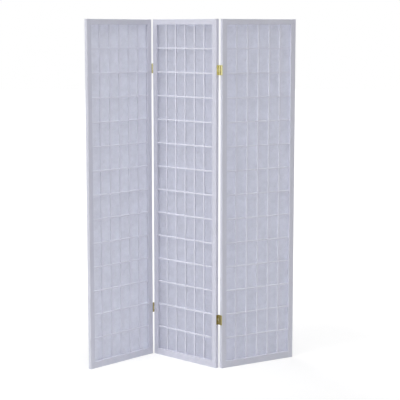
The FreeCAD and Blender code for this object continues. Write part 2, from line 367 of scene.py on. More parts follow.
def paint_node(node, material):
    """Give a CAD node that stays on show its finish."""
    mesh = frame["nodes"][node].data
    mesh.materials.clear()
    mesh.materials.append(material)


def bar_values(low, high, rounds, material):
    """The inputs that every kind of bar needs, from its box in the bar's own axes."""
    size = Vector(high) - Vector(low)
    return {
        "Bar Length": size.z,
        "Bar Width": size.x,
        "Bar Depth": size.y,
        "Low Side Round": rounds[0],
        "High Side Round": rounds[1],
        "Round Steps": ROUND_STEPS,
        "Bar Count": 1,
        "Bar Pitch": 0.0,
        "Grooved": False,
        "Groove Place": Vector(),
        "Groove Size": Vector((1, 1, 1)),
        "Material": material,
    }


def notch_values(first_low, first_high, count, pitch):
    """The inputs for a row of notches, from the first one's two corners."""
    place, size = box_between(first_low, first_high)
    return {"Notch Count": count, "Notch Pitch": pitch, "First Notch": place, "Notch Size": size}


# The strips' own places in a panel, the same in all three.
UPRIGHT_SPANS = spans(levels("centre", "lattice_uprights", 0))
CROSSBAR_SPANS = spans(levels("centre", "lattice_crossbars", 2))
UPRIGHT_ENDS = limits("centre", "lattice_uprights", 2)
CROSSBAR_ENDS = limits("centre", "lattice_crossbars", 0)
STRIP_FRONT, STRIP_LAP, STRIP_BACK = levels("centre", "lattice_uprights", 1)
STRIP_WIDTH = UPRIGHT_SPANS[0][1] - UPRIGHT_SPANS[0][0]
COLUMN_PITCH = UPRIGHT_SPANS[1][0] - UPRIGHT_SPANS[0][0]
ROW_PITCH = CROSSBAR_SPANS[1][0] - CROSSBAR_SPANS[0][0]
STRIP_FIT = (levels("centre", "lattice_uprights", 2)[2] - levels("centre", "lattice_uprights", 2)[1]
             - STRIP_WIDTH) / 2
PANEL_SIZE = Vector((limits("centre", "right_stile", 0)[1], limits("centre", "left_stile", 1)[1],
                     limits("centre", "left_stile", 2)[1]))
STILE_WIDTH = limits("centre", "left_stile", 0)[1]
RAIL_TOP = limits("centre", "bottom_rail", 2)[1]
RAIL_UNDERSIDE = limits("centre", "top_rail", 2)[0]
PAPER_X = limits("centre", "paper", 0)
PAPER_Y = limits("centre", "paper", 1)
PAPER_Z = limits("centre", "paper", 2)
GROOVE_END_GAP = 0.001

# A bar's own Z is its length.  A rail or crossbar lies along the panel's X, so
# its own X points down.
LAID_DOWN = Matrix.Rotation(math.radians(90), 4, "Y")


def move_to_panel(mesh, laid_down, middle, middle_y, start):
    """Move a mesh from a bar's own axes to the panel's.

    Middle is the bar's height where it's laid down, and else its place across the panel.
    Start is where the bar's lower or left end lies."""
    if laid_down:
        mesh.transform(Matrix.Translation((start, middle_y, middle)) @ LAID_DOWN)
    else:
        mesh.transform(Matrix.Translation((middle, middle_y, start)))


def cut_across(inward, half_width, depth):
    """Where a cut of this depth into a frame bar's inner side begins and ends, on the bar's own X.

    Inward is 1 where the inner side faces up that X and -1 where it faces down it."""
    return sorted((inward * (half_width - depth), inward * (half_width + CUT_OVERSHOOT)))


def pocket_values(inward, half_width, depth, first_strip, count, pitch):
    """The inputs for a frame bar's pockets, which hold the strips' ends."""
    half_depth = PANEL_SIZE.y / 2
    across = cut_across(inward, half_width, depth)
    through = (STRIP_FRONT - STRIP_FIT - half_depth, STRIP_BACK + STRIP_FIT - half_depth)
    return notch_values((across[0], through[0], first_strip[0] - STRIP_FIT),
                        (across[1], through[1], first_strip[1] + STRIP_FIT), count, pitch)


def groove_values(inward, half_width, depth, along):
    """The inputs for the groove in a frame bar's inner side, which holds the paper's edge."""
    half_depth = PANEL_SIZE.y / 2
    across = cut_across(inward, half_width, depth)
    place, size = box_between((across[0], PAPER_Y[0] - STRIP_FIT - half_depth, along[0]),
                              (across[1], PAPER_Y[1] + STRIP_FIT - half_depth, along[1]))
    return {"Grooved": True, "Groove Place": place, "Groove Size": size}


def stile_mesh(tree, name, on_left, wood, material, seed):
    """A stile with a pocket for every crossbar's end and the groove for the paper."""
    inward = 1 if on_left else -1
    half_width = STILE_WIDTH / 2
    half_depth = PANEL_SIZE.y / 2
    outer, inner = wood.frame_round, wood.inner_round
    rounds = (outer, inner) if on_left else (inner, outer)
    values = bar_values((-half_width, -half_depth, 0), (half_width, half_depth, PANEL_SIZE.z), rounds,
                        material)
    pocket_depth = STILE_WIDTH - CROSSBAR_ENDS[0] + STRIP_FIT
    values.update(pocket_values(inward, half_width, pocket_depth, CROSSBAR_SPANS[0], len(CROSSBAR_SPANS),
                                ROW_PITCH))
    groove_depth = STILE_WIDTH - PAPER_X[0] + GROOVE_END_GAP
    groove_ends = (PAPER_Z[0] - GROOVE_END_GAP, PAPER_Z[1] + GROOVE_END_GAP)
    values.update(groove_values(inward, half_width, groove_depth, groove_ends))
    mesh = mesh_from_tree(name, tree, values)
    mark_grain(mesh, 0.0, seed)
    middle_x = half_width if on_left else PANEL_SIZE.x - half_width
    move_to_panel(mesh, False, middle_x, half_depth, 0.0)
    return mesh


def rail_mesh(tree, name, at_top, wood, material, seed):
    """A rail between the stiles, with a pocket for every upright's end and the paper's groove."""
    underside, top = (RAIL_UNDERSIDE, PANEL_SIZE.z) if at_top else (0.0, RAIL_TOP)
    inward = 1 if at_top else -1  # the bar's own X points down
    half_height = (top - underside) / 2
    half_depth = PANEL_SIZE.y / 2
    rail_length = PANEL_SIZE.x - 2 * STILE_WIDTH
    outer, inner = wood.frame_round, wood.inner_round
    rounds = (outer, inner) if at_top else (inner, outer)
    values = bar_values((-half_height, -half_depth, 0), (half_height, half_depth, rail_length), rounds,
                        material)
    pocket_depth = RAIL_TOP - UPRIGHT_ENDS[0] + STRIP_FIT
    first_strip = [value - STILE_WIDTH for value in UPRIGHT_SPANS[0]]
    values.update(pocket_values(inward, half_height, pocket_depth, first_strip, len(UPRIGHT_SPANS),
                                COLUMN_PITCH))
    groove_depth = RAIL_TOP - PAPER_Z[0] + GROOVE_END_GAP
    groove_ends = (-CUT_OVERSHOOT, rail_length + CUT_OVERSHOOT)
    values.update(groove_values(inward, half_height, groove_depth, groove_ends))
    mesh = mesh_from_tree(name, tree, values)
    mark_grain(mesh, 0.0, seed)
    move_to_panel(mesh, True, (underside + top) / 2, half_depth, STILE_WIDTH)
    return mesh


def strips_mesh(tree, name, upright, wood, material, seed):
    """The upright strips, notched at the back, or the crossbars, notched at the front."""
    half_width = STRIP_WIDTH / 2
    half_depth = (STRIP_BACK - STRIP_FRONT) / 2
    lap = STRIP_LAP - STRIP_FRONT - half_depth
    if upright:
        strips, ends, pitch = UPRIGHT_SPANS, UPRIGHT_ENDS, COLUMN_PITCH
        crossing, crossing_pitch = CROSSBAR_SPANS, ROW_PITCH
        notch_y = (lap, half_depth + CUT_OVERSHOOT)
        first_place = strips[0][0] + half_width
    else:
        strips, ends, pitch = CROSSBAR_SPANS, CROSSBAR_ENDS, ROW_PITCH
        crossing, crossing_pitch = UPRIGHT_SPANS, COLUMN_PITCH
        notch_y = (-half_depth - CUT_OVERSHOOT, lap)
        first_place = strips[-1][0] + half_width  # the row starts at the top, as its own X points down
    values = bar_values((-half_width, -half_depth, ends[0]), (half_width, half_depth, ends[1]),
                        (wood.strip_round, wood.strip_round), material)
    values.update({"Bar Count": len(strips), "Bar Pitch": pitch})
    first_notch = [value - ends[0] for value in crossing[0]]
    values.update(notch_values((-half_width - CUT_OVERSHOOT, notch_y[0], first_notch[0] - STRIP_FIT),
                               (half_width + CUT_OVERSHOOT, notch_y[1], first_notch[1] + STRIP_FIT),
                               len(crossing), crossing_pitch))
    mesh = mesh_from_tree(name, tree, values)
    mark_grain(mesh, pitch, seed)
    move_to_panel(mesh, not upright, first_place, STRIP_FRONT + half_depth, ends[0])
    return mesh


# ---- Paper ----

# A cell's slack and the ripples in it, as shares of the Slack setting.
SLACK_RANGE = (-0.5, 1.0)
RIPPLE_SHARE = 0.6

# Steps between the seeds of the cells' slack, so that no two cells share one.
SHEET_SEED_STEP = 1000
COLUMN_SEED_STEP = 50


def cell_lines(low_edge, high_edge, strip_spans, steps):
    """Grid lines across the sheet: the edges, the strips' sides, and steps in each clear cell.

    Each line comes with its cell's number and its place in the cell from -1 to 1."""
    clear = []
    start = low_edge
    for low, high in strip_spans:
        clear.append((start, low))
        start = high
    clear.append((start, high_edge))
    lines = []
    for cell, (low, high) in enumerate(clear):
        for step in range(steps + 1):
            share = step / steps
            lines.append((low + (high - low) * share, cell, 2 * share - 1))
    return lines


def paper_bulge(column, row, paper, seed):
    """How far the paper stands back at one point of one cell."""
    x, column_number, across = column
    z, row_number, up = row
    cell_seed = seed * SHEET_SEED_STEP + column_number * COLUMN_SEED_STEP + row_number
    slack = random.Random(cell_seed).uniform(*SLACK_RANGE)
    ripple = noise.noise(Vector((x, z, seed)) * paper.ripple_scale)
    tied = (1 - across ** 2) * (1 - up ** 2)
    return paper.bulge * tied * (slack + RIPPLE_SHARE * ripple)


def paper_mesh(name, paper, seed):
    """A closed thin sheet, tied down along every strip and slightly slack in each cell."""
    columns = cell_lines(STILE_WIDTH, PANEL_SIZE.x - STILE_WIDTH, UPRIGHT_SPANS, paper.column_steps)
    columns = [(PAPER_X[0], 0, -1)] + columns + [(PAPER_X[1], 0, -1)]
    rows = cell_lines(RAIL_TOP, RAIL_UNDERSIDE, CROSSBAR_SPANS, paper.row_steps)
    rows = [(PAPER_Z[0], 0, -1)] + rows + [(PAPER_Z[1], 0, -1)]

    build = bmesh.new()
    layers = []
    for face_y in PAPER_Y:
        layer = []
        for row in rows:
            layer.append([build.verts.new((column[0], face_y + paper_bulge(column, row, paper, seed), row[0]))
                          for column in columns])
        layers.append(layer)
    front, back = layers
    top, right = len(rows) - 1, len(columns) - 1
    for i in range(top):
        for j in range(right):
            build.faces.new((front[i][j], front[i][j + 1], front[i + 1][j + 1], front[i + 1][j]))
            build.faces.new((back[i][j], back[i + 1][j], back[i + 1][j + 1], back[i][j + 1]))
    for i in range(top):
        build.faces.new((front[i][0], front[i + 1][0], back[i + 1][0], back[i][0]))
        build.faces.new((front[i][right], back[i][right], back[i + 1][right], front[i + 1][right]))
    for j in range(right):
        build.faces.new((front[0][j], back[0][j], back[0][j + 1], front[0][j + 1]))
        build.faces.new((front[top][j], front[top][j + 1], back[top][j + 1], back[top][j]))
    mesh = bpy.data.meshes.new(name)
    build.to_mesh(mesh)
    build.free()

    place = mesh.attributes.new(GRAIN, "FLOAT_VECTOR", "POINT")
    for vertex, value in zip(mesh.vertices, place.data):
        value.vector = (vertex.co.x + seed, vertex.co.z, vertex.co.y)
    return mesh


# ---- Materials ----

# How fine each pattern is, per metre.  Three numbers are for along, across and
# through a bar, for across, up and through a sheet, or for X, Y and Z on a hinge,
# a screw or a dowel.
BRUSH_MARKS = (6, 420, 420)
WOOD_PORES = (22, 1500, 1500)
PAINT_CLOUDS = (5, 16, 16)
PULP_CLOUDS = 34.0
LONG_FIBRES = 55.0
FINE_FIBRES = 150.0
BARK_FLECKS = (170, 110, 110)
METAL_BRUSHING = (2600, 2600, 60)
METAL_PATCHES = (130, 130, 130)
BEECH_FLECKS = (300, 300, 900)
UNSCALED = (1, 1, 1)

# The noise values between which a mark goes from nothing to full, or back.
SOFT_EDGE = (0.30, 0.70)
CLOUD_EDGE = (0.35, 0.65)
PORE_EDGE = (0.30, 0.42)
FLECK_EDGE = (0.83, 0.88)
PATCH_EDGE = (0.45, 0.75)
GRAIN_EDGE = (0.40, 0.70)

# A fibre lies where its noise passes the middle value, and is this wide to each side.
NOISE_MIDDLE = 0.5
LONG_FIBRE_EDGE = (0.0, 0.022)
FINE_FIBRE_EDGE = (0.0, 0.035)

# Heights over the floor between which painted shade on the brass goes from darkest to none, standing in for
# the darker surroundings that low brass reflects, and the share of the dark colour that this adds at the
# lower one.
PAINTED_SHADE_HEIGHTS = (0.2, 1.6)
LOW_PAINTED_SHADE = 0.60


def new_material(name):
    """A new node material, as (material, sketch, its shader node)."""
    material = bpy.data.materials.new(name)
    material.use_nodes = True
    shader = material.node_tree.nodes["Principled BSDF"]
    return material, TreeSketch(material.node_tree), shader


def own_place(sketch, scale):
    """The point's place in its own bar or sheet, scaled for a pattern."""
    place = sketch.add("ShaderNodeAttribute", attribute_name=GRAIN).outputs["Vector"]
    return sketch.add("ShaderNodeMapping", {"Vector": place, "Scale": scale}).outputs[0]


def object_place(sketch, scale):
    """The point's place in the object, scaled for a pattern."""
    place = sketch.add("ShaderNodeTexCoord").outputs["Object"]
    return sketch.add("ShaderNodeMapping", {"Vector": place, "Scale": scale}).outputs[0]


def noise_at(sketch, place, scale=1.0, detail=2.0, roughness=0.5, distortion=0.0):
    """A noise value."""
    feeds = {"Vector": place, "Scale": scale, "Detail": detail, "Roughness": roughness,
             "Distortion": distortion}
    return sketch.add("ShaderNodeTexNoise", feeds).outputs[0]


def spread(sketch, value, source, target):
    """A value moved from one range to another, and kept within it."""
    feeds = {"Value": value, "From Min": source[0], "From Max": source[1],
             "To Min": target[0], "To Max": target[1]}
    return sketch.add("ShaderNodeMapRange", feeds, clamp=True).outputs[0]


def blend_colours(sketch, share, first, second, blend_type="MIX"):
    """Two colours mixed."""
    node = sketch.add("ShaderNodeMix", data_type="RGBA", blend_type=blend_type)
    sketch.feed(node.inputs[0], share)
    sketch.feed(node.inputs[6], first)
    sketch.feed(node.inputs[7], second)
    return node.outputs[2]


def shade(colour, factor):
    """A colour made lighter or darker, with full alpha."""
    return (colour[0] * factor, colour[1] * factor, colour[2] * factor, 1.0)


def bumped(sketch, height, distance, strength):
    """A normal from a height pattern."""
    feeds = {"Height": height, "Distance": distance, "Strength": strength}
    return sketch.add("ShaderNodeBump", feeds).outputs[0]


def painted_wood_material(name, paint, wood):
    """Satin white paint, brushed along the grain of each bar, over close-grained softwood."""
    material, sketch, shader = new_material(name)
    brush = noise_at(sketch, own_place(sketch, BRUSH_MARKS), detail=3.0, roughness=0.6)
    pores = noise_at(sketch, own_place(sketch, WOOD_PORES), detail=1.0)
    cloud = noise_at(sketch, own_place(sketch, PAINT_CLOUDS), detail=2.0)
    pore_lines = spread(sketch, pores, PORE_EDGE, (1.0, 0.0))
    thin_paint = spread(sketch, cloud, CLOUD_EDGE, (0.0, 1.0))
    base = blend_colours(sketch, thin_paint, shade(paint, 0.975), shade(paint, 1.01))
    streak_share = spread(sketch, brush, SOFT_EDGE, (0.0, 0.5))
    streaked = blend_colours(sketch, streak_share, base, shade(paint, 0.95))
    pore_share = sketch.math("MULTIPLY", pore_lines, wood.pore_strength)
    colour = blend_colours(sketch, pore_share, streaked, shade(wood.bare_wood, 1.0))
    sketch.feed(shader.inputs["Base Color"], colour)
    rough = spread(sketch, brush, SOFT_EDGE, (wood.roughness - 0.06, wood.roughness + 0.08))
    sketch.feed(shader.inputs["Roughness"], rough)
    relief = sketch.math("SUBTRACT", brush, sketch.math("MULTIPLY", pore_lines, 0.6))
    sketch.feed(shader.inputs["Normal"], bumped(sketch, relief, 0.0002, 0.5))
    shader.inputs["Specular IOR Level"].default_value = 0.35
    return material


def rice_paper_material(paper):
    """Translucent paper with long fibres, cloudy pulp and a few flecks of bark."""
    material, sketch, shader = new_material("Rice Paper")
    place = own_place(sketch, UNSCALED)
    pulp = noise_at(sketch, place, scale=PULP_CLOUDS, detail=4.0, roughness=0.62)
    long_fibre = noise_at(sketch, place, scale=LONG_FIBRES, detail=2.0, distortion=2.2)
    fine_fibre = noise_at(sketch, place, scale=FINE_FIBRES, detail=2.0, distortion=2.8)
    long_ridge = sketch.math("ABSOLUTE", sketch.math("SUBTRACT", long_fibre, NOISE_MIDDLE))
    fine_ridge = sketch.math("ABSOLUTE", sketch.math("SUBTRACT", fine_fibre, NOISE_MIDDLE))
    long_line = spread(sketch, long_ridge, LONG_FIBRE_EDGE, (1.0, 0.0))
    fine_line = spread(sketch, fine_ridge, FINE_FIBRE_EDGE, (0.7, 0.0))
    fibre = sketch.math("MAXIMUM", long_line, fine_line)
    fleck = noise_at(sketch, own_place(sketch, BARK_FLECKS), detail=0.0, distortion=1.5)
    fleck_mark = spread(sketch, fleck, FLECK_EDGE, (0.0, 0.5))

    cloud = spread(sketch, pulp, SOFT_EDGE, (0.0, 1.0))
    base = blend_colours(sketch, cloud, shade(paper.colour, 0.93), shade(paper.colour, 1.03))
    fibre_share = sketch.math("MULTIPLY", fibre, paper.fibre_strength)
    fibred = blend_colours(sketch, fibre_share, base, shade(paper.colour, 1.14))
    colour = blend_colours(sketch, fleck_mark, fibred, shade(paper.fleck, 1.0))
    sketch.feed(shader.inputs["Base Color"], colour)
    shader.inputs["Roughness"].default_value = 0.85
    shader.inputs["Specular IOR Level"].default_value = 0.2
    relief = sketch.math("ADD", sketch.math("MULTIPLY", fibre, 0.6), pulp)
    normal = bumped(sketch, relief, 0.0003, 0.35)
    sketch.feed(shader.inputs["Normal"], normal)

    passed = sketch.add("ShaderNodeBsdfTranslucent", {"Color": colour, "Normal": normal})
    share = spread(sketch, pulp, SOFT_EDGE, (paper.translucency - 0.04, paper.translucency + 0.04))
    mixed = sketch.add("ShaderNodeMixShader", {0: share, 1: shader.outputs[0], 2: passed.outputs[0]})
    output = material.node_tree.nodes["Material Output"]
    sketch.feed(output.inputs["Surface"], mixed.outputs[0])
    return material


def metal_material(name, colour, dark, roughness, tarnish):
    """Rolled sheet metal, brushed upright, with random dull tarnish patches and painted shade that darkens it
    towards the floor in place of a darker reflection.
    """
    material, sketch, shader = new_material(name)
    brush = noise_at(sketch, object_place(sketch, METAL_BRUSHING), detail=2.0)
    patch = noise_at(sketch, object_place(sketch, METAL_PATCHES), detail=3.0)
    height = sketch.add("ShaderNodeSeparateXYZ", {0: object_place(sketch, UNSCALED)}).outputs["Z"]
    # Painted shade: darker towards the floor, standing in for the darker surroundings that the low brass
    # reflects; it is added to the random tarnish patches.
    painted_low_shade = spread(sketch, height, PAINTED_SHADE_HEIGHTS, (LOW_PAINTED_SHADE, 0.0))
    tone = sketch.math("ADD", spread(sketch, patch, PATCH_EDGE, (0.0, tarnish)), painted_low_shade)
    base = blend_colours(sketch, tone, shade(colour, 1.0), shade(dark, 1.0))
    sketch.feed(shader.inputs["Base Color"], base)
    rough = spread(sketch, brush, SOFT_EDGE, (roughness - 0.05, roughness + 0.08))
    sketch.feed(shader.inputs["Roughness"], rough)
    sketch.feed(shader.inputs["Normal"], bumped(sketch, brush, 0.00005, 0.4))
    shader.inputs["Metallic"].default_value = 1.0
    return material


def beech_material(hinge):
    """Bare beech with fine flecks, for the hidden dowels."""
    material, sketch, shader = new_material("Dowel Beech")
    fleck = noise_at(sketch, object_place(sketch, BEECH_FLECKS), detail=2.0)
    light, dark = shade(hinge.dowel_wood, 1.0), shade(hinge.dowel_wood, 0.7)
    tone = spread(sketch, fleck, GRAIN_EDGE, (0.0, 1.0))
    sketch.feed(shader.inputs["Base Color"], blend_colours(sketch, tone, light, dark))
    sketch.feed(shader.inputs["Normal"], bumped(sketch, fleck, 0.0001, 0.4))
    shader.inputs["Roughness"].default_value = 0.7
    return material


# ---- Screws ----

# Each hinge leaf as its junction, its name, and the panel and end (left -1,
# right 1) that it is screwed to.
LEAVES = (
    ("left", "back", "left", 1),
    ("left", "front", "centre", -1),
    ("right", "back", "centre", 1),
    ("right", "front", "right", -1),
)
HEIGHTS = ("lower", "upper")
SCREWS_PER_LEAF = 2
HEAD_SIDES = 32
SHANK_SIDES = 24
SCREW_INPUTS = (
    ("Head Radius", "Float"),
    ("Head Height", "Float"),
    ("Shank Radius", "Float"),
    ("Screw Length", "Float"),
    ("Point Length", "Float"),
    ("Recess Length", "Float"),
    ("Recess Width", "Float"),
    ("Recess Depth", "Float"),
    ("Screw Count", "Int"),
    ("Screw Spacing", "Float"),
    ("Material", "Material"),
)


def revolved(sketch, vertices, top_radius, bottom_radius, depth, top_z):
    """A closed cone or cylinder that hangs from a height."""
    cone = sketch.add("GeometryNodeMeshCone", {"Vertices": vertices, "Radius Top": bottom_radius,
                                               "Radius Bottom": top_radius, "Depth": depth})
    flip = sketch.add("GeometryNodeTransform", {"Geometry": cone.outputs[0],
                                                "Translation": sketch.vector(z=top_z),
                                                "Rotation": (math.pi, 0, 0)})
    return flip.outputs[0]


def joined(sketch, *meshes):
    """Several meshes fused into one closed body."""
    body = sketch.add("GeometryNodeMeshBoolean", operation="UNION", solver="EXACT")
    for mesh in meshes:
        sketch.tree.links.new(mesh, body.inputs["Mesh 2"])
    return body.outputs[0]


def screw_tree():
    """The tree for a leaf's screws: countersunk head up, point down along the own -Z."""
    tree, sketch, inputs = geometry_tree("Hinge Screws", SCREW_INPUTS)
    head = revolved(sketch, HEAD_SIDES, inputs["Head Radius"], inputs["Shank Radius"], inputs["Head Height"],
                    0.0)
    shank_top = sketch.math("MULTIPLY", inputs["Head Height"], -0.5)
    shank_end = sketch.math("SUBTRACT", inputs["Point Length"], inputs["Screw Length"])
    shank = revolved(sketch, SHANK_SIDES, inputs["Shank Radius"], inputs["Shank Radius"],
                     sketch.math("SUBTRACT", shank_top, shank_end), shank_top)
    point = revolved(sketch, SHANK_SIDES, inputs["Shank Radius"], 0.0, inputs["Point Length"], shank_end)
    body = joined(sketch, head, shank, point)
    double_depth = sketch.math("MULTIPLY", inputs["Recess Depth"], 2.0)
    for size in ((inputs["Recess Length"], inputs["Recess Width"]),
                 (inputs["Recess Width"], inputs["Recess Length"])):
        arm = sketch.add("GeometryNodeMeshCube", {"Size": sketch.vector(size[0], size[1], double_depth)})
        body = cut_away(sketch, body, arm.outputs[0])
    start = sketch.math("MULTIPLY", inputs["Screw Spacing"],
                        sketch.math("MULTIPLY", sketch.math("SUBTRACT", inputs["Screw Count"], 1.0), -0.5))
    places = sketch.add("GeometryNodeMeshLine", {"Count": inputs["Screw Count"],
                                                 "Start Location": sketch.vector(x=start),
                                                 "Offset": sketch.vector(x=inputs["Screw Spacing"])},
                        mode="OFFSET")
    copies = sketch.add("GeometryNodeInstanceOnPoints", {"Points": places.outputs[0], "Instance": body})
    finish_tree(sketch, copies.outputs[0], inputs["Material"])
    return tree


def screws_mesh(tree, name, side, node, outward, hinge, material):
    """A leaf's screws in a panel's own axes, heads out at the panel's left (-1) or right (1) end."""
    points = [PANEL_AXES[side].inverted() @ point for point in corners(node)]
    low = Vector([min(point[axis] for point in points) for axis in range(3)])
    high = Vector([max(point[axis] for point in points) for axis in range(3)])
    middle = (low + high) / 2
    head_radius = (high.y - low.y) / 2
    shank_radius = hinge.screw_diameter / 2
    values = {
        "Head Radius": head_radius,
        "Head Height": head_radius - shank_radius,
        "Shank Radius": shank_radius,
        "Screw Length": high.x - low.x,
        "Point Length": hinge.screw_point,
        "Recess Length": hinge.recess_length,
        "Recess Width": hinge.recess_width,
        "Recess Depth": hinge.recess_depth,
        "Screw Count": SCREWS_PER_LEAF,
        "Screw Spacing": (high.z - low.z - 2 * head_radius) / (SCREWS_PER_LEAF - 1),
        "Material": material,
    }
    mesh = mesh_from_tree(name, tree, values)
    head_out = Vector((outward, 0, 0))
    turn = Matrix((UP, head_out.cross(UP), head_out)).transposed().to_4x4()
    head_x = high.x if outward > 0 else low.x
    mesh.transform(Matrix.Translation((head_x, middle.y, middle.z)) @ turn)
    return mesh


# ---- Studio ----

FLOOR_SEGMENTS = 96
SENSOR_WIDTH = 36.0
LAMPS = ("key", "front", "right", "back", "top")


def add_lamp(studio, lamp):
    """A square soft light, placed by its angle to the camera's left and its height as an angle."""
    azimuth = getattr(studio, lamp + "_azimuth")
    elevation = getattr(studio, lamp + "_elevation")
    middle = Vector((0, 0, CAD_BOX[1].z / 2))
    towards = Vector((-math.cos(elevation) * math.sin(azimuth), -math.cos(elevation) * math.cos(azimuth),
                      math.sin(elevation)))
    light = bpy.data.lights.new(lamp + "_light", "AREA")
    light.shape = "SQUARE"
    light.size = getattr(studio, lamp + "_size")
    light.energy = getattr(studio, lamp + "_power")
    holder = bpy.data.objects.new(lamp + "_light", light)
    turn = (-towards).to_track_quat("-Z", "Y").to_matrix().to_4x4()
    holder.matrix_world = Matrix.Translation(middle + studio.lamp_distance * towards) @ turn
    bpy.context.scene.collection.objects.link(holder)


def seen_directly(sketch):
    """One for the camera's rays and for those that metal or glass sends on, and else nought."""
    path = sketch.add("ShaderNodeLightPath").outputs
    mirror = sketch.math("MAXIMUM", path["Is Glossy Ray"], path["Is Transmission Ray"])
    sharp = sketch.math("MAXIMUM", path["Is Camera Ray"], mirror)
    return sketch.math("SUBTRACT", sharp, path["Is Diffuse Ray"], clamp=True)


def studio_world(studio):
    """Even soft light all round, which looks plain white to the camera."""
    world = bpy.data.worlds.new("Studio")
    bpy.context.scene.world = world
    world.use_nodes = True
    sketch = TreeSketch(world.node_tree)
    strength = spread(sketch, seen_directly(sketch), (0.0, 1.0), (studio.ambient, 1.0))
    background = world.node_tree.nodes["Background"]
    background.inputs["Color"].default_value = (1, 1, 1, 1)
    sketch.feed(background.inputs["Strength"], strength)


def floor_material(studio):
    """A pale floor that keeps the screen's shadow and fades to white away from it."""
    material, sketch, shader = new_material("Studio Floor")
    sketch.feed(shader.inputs["Base Color"], shade(studio.floor_colour, 1.0))
    shader.inputs["Roughness"].default_value = 0.9
    shader.inputs["Specular IOR Level"].default_value = 0.0
    place = object_place(sketch, UNSCALED)
    distance = sketch.add("ShaderNodeVectorMath", {0: place}, operation="LENGTH").outputs["Value"]
    fade = spread(sketch, distance, (studio.shadow_reach, 2 * studio.shadow_reach), (studio.whiteness, 1.0))
    share = sketch.math("MULTIPLY", fade, seen_directly(sketch))
    white = sketch.add("ShaderNodeEmission", {"Color": (1, 1, 1, 1), "Strength": studio.floor_glow})
    mixed = sketch.add("ShaderNodeMixShader", {0: share, 1: shader.outputs[0], 2: white.outputs[0]})
    sketch.feed(material.node_tree.nodes["Material Output"].inputs["Surface"], mixed.outputs[0])
    return material


def add_floor(studio):
    """A large round floor."""
    build = bmesh.new()
    bmesh.ops.create_circle(build, cap_ends=True, segments=FLOOR_SEGMENTS, radius=studio.floor_radius)
    mesh = bpy.data.meshes.new("studio_floor")
    build.to_mesh(mesh)
    build.free()
    mesh.materials.append(floor_material(studio))
    floor = bpy.data.objects.new("studio_floor", mesh)
    bpy.context.scene.collection.objects.link(floor)


def add_camera(studio):
    """The camera, standing in front and looking slightly down."""
    data = bpy.data.cameras.new("Camera")
    data.lens = studio.lens
    data.sensor_width = SENSOR_WIDTH
    camera = bpy.data.objects.new("Camera", data)
    camera.location = (studio.camera_side, -studio.camera_distance, studio.camera_height)
    camera.rotation_euler = (math.radians(90) - studio.camera_pitch, 0, studio.camera_yaw)
    bpy.context.scene.collection.objects.link(camera)
    bpy.context.scene.camera = camera


# ---- Settings ----

def length_setting(name, description, default):
    """A length setting."""
    return FloatProperty(name=name, description=description, default=default, min=0.0, precision=5,
                         unit="LENGTH")


def share_setting(name, description, default):
    """A setting from nought to one."""
    return FloatProperty(name=name, description=description, default=default, min=0.0, max=1.0,
                         subtype="FACTOR")


def colour_setting(name, description, default):
    """A colour setting."""
    return FloatVectorProperty(name=name, description=description, default=default, size=3, min=0.0,
                               max=1.0, subtype="COLOR")


def angle_setting(name, description, degrees):
    """An angle setting, given in degrees."""
    return FloatProperty(name=name, description=description, default=math.radians(degrees), subtype="ANGLE")


def power_setting(name, description, default):
    """A lamp's power."""
    return FloatProperty(name=name, description=description, default=default, min=0.0, subtype="POWER")


class ScreenWood(bpy.types.PropertyGroup):
    """The painted wood of frames and lattices."""
    paint: colour_setting("Paint", "Colour of the frames' paint", (0.74, 0.745, 0.84))
    # Painted light: the strips get a lighter white than the frames. It stands in for the highlights on their
    # lit sides and makes up for the shade in their recess.
    lattice_paint_with_painted_light: colour_setting("Lattice Paint With Painted Light", "Colour of the strips' paint", (0.83, 0.835, 0.92))
    bare_wood: colour_setting("Bare Wood", "Colour of the wood under thin paint", (0.52, 0.50, 0.54))
    roughness: share_setting("Roughness", "How matt the paint is", 0.45)
    pore_strength: share_setting("Pores", "How far the wood's pores show through", 0.12)
    frame_round: length_setting("Outer Edge Round", "Radius of the frame's outer edges", 0.0015)
    inner_round: length_setting("Inner Edge Round", "Radius of the frame's edges round the lattice", 0.0006)
    strip_round: length_setting("Strip Edge Round", "Radius of the strips' edges", 0.0005)


class ScreenPaper(bpy.types.PropertyGroup):
    """The paper behind the lattice."""
    colour: colour_setting("Paper", "Colour of the paper", (0.87, 0.88, 0.95))
    fleck: colour_setting("Flecks", "Colour of the bark flecks in the paper", (0.50, 0.48, 0.47))
    translucency: share_setting("Translucency", "Share of light that each face passes on", 0.68)
    fibre_strength: share_setting("Fibres", "How far the fibres stand out", 0.35)
    bulge: length_setting("Slack", "How far the paper stands back in a slack cell", 0.0007)
    ripple_scale: FloatProperty(name="Ripples", description="Ripples in the paper per metre", default=22.0)
    column_steps: IntProperty(name="Column Steps", description="Faces across one cell", default=8, min=2)
    row_steps: IntProperty(name="Row Steps", description="Faces up one cell", default=14, min=2)


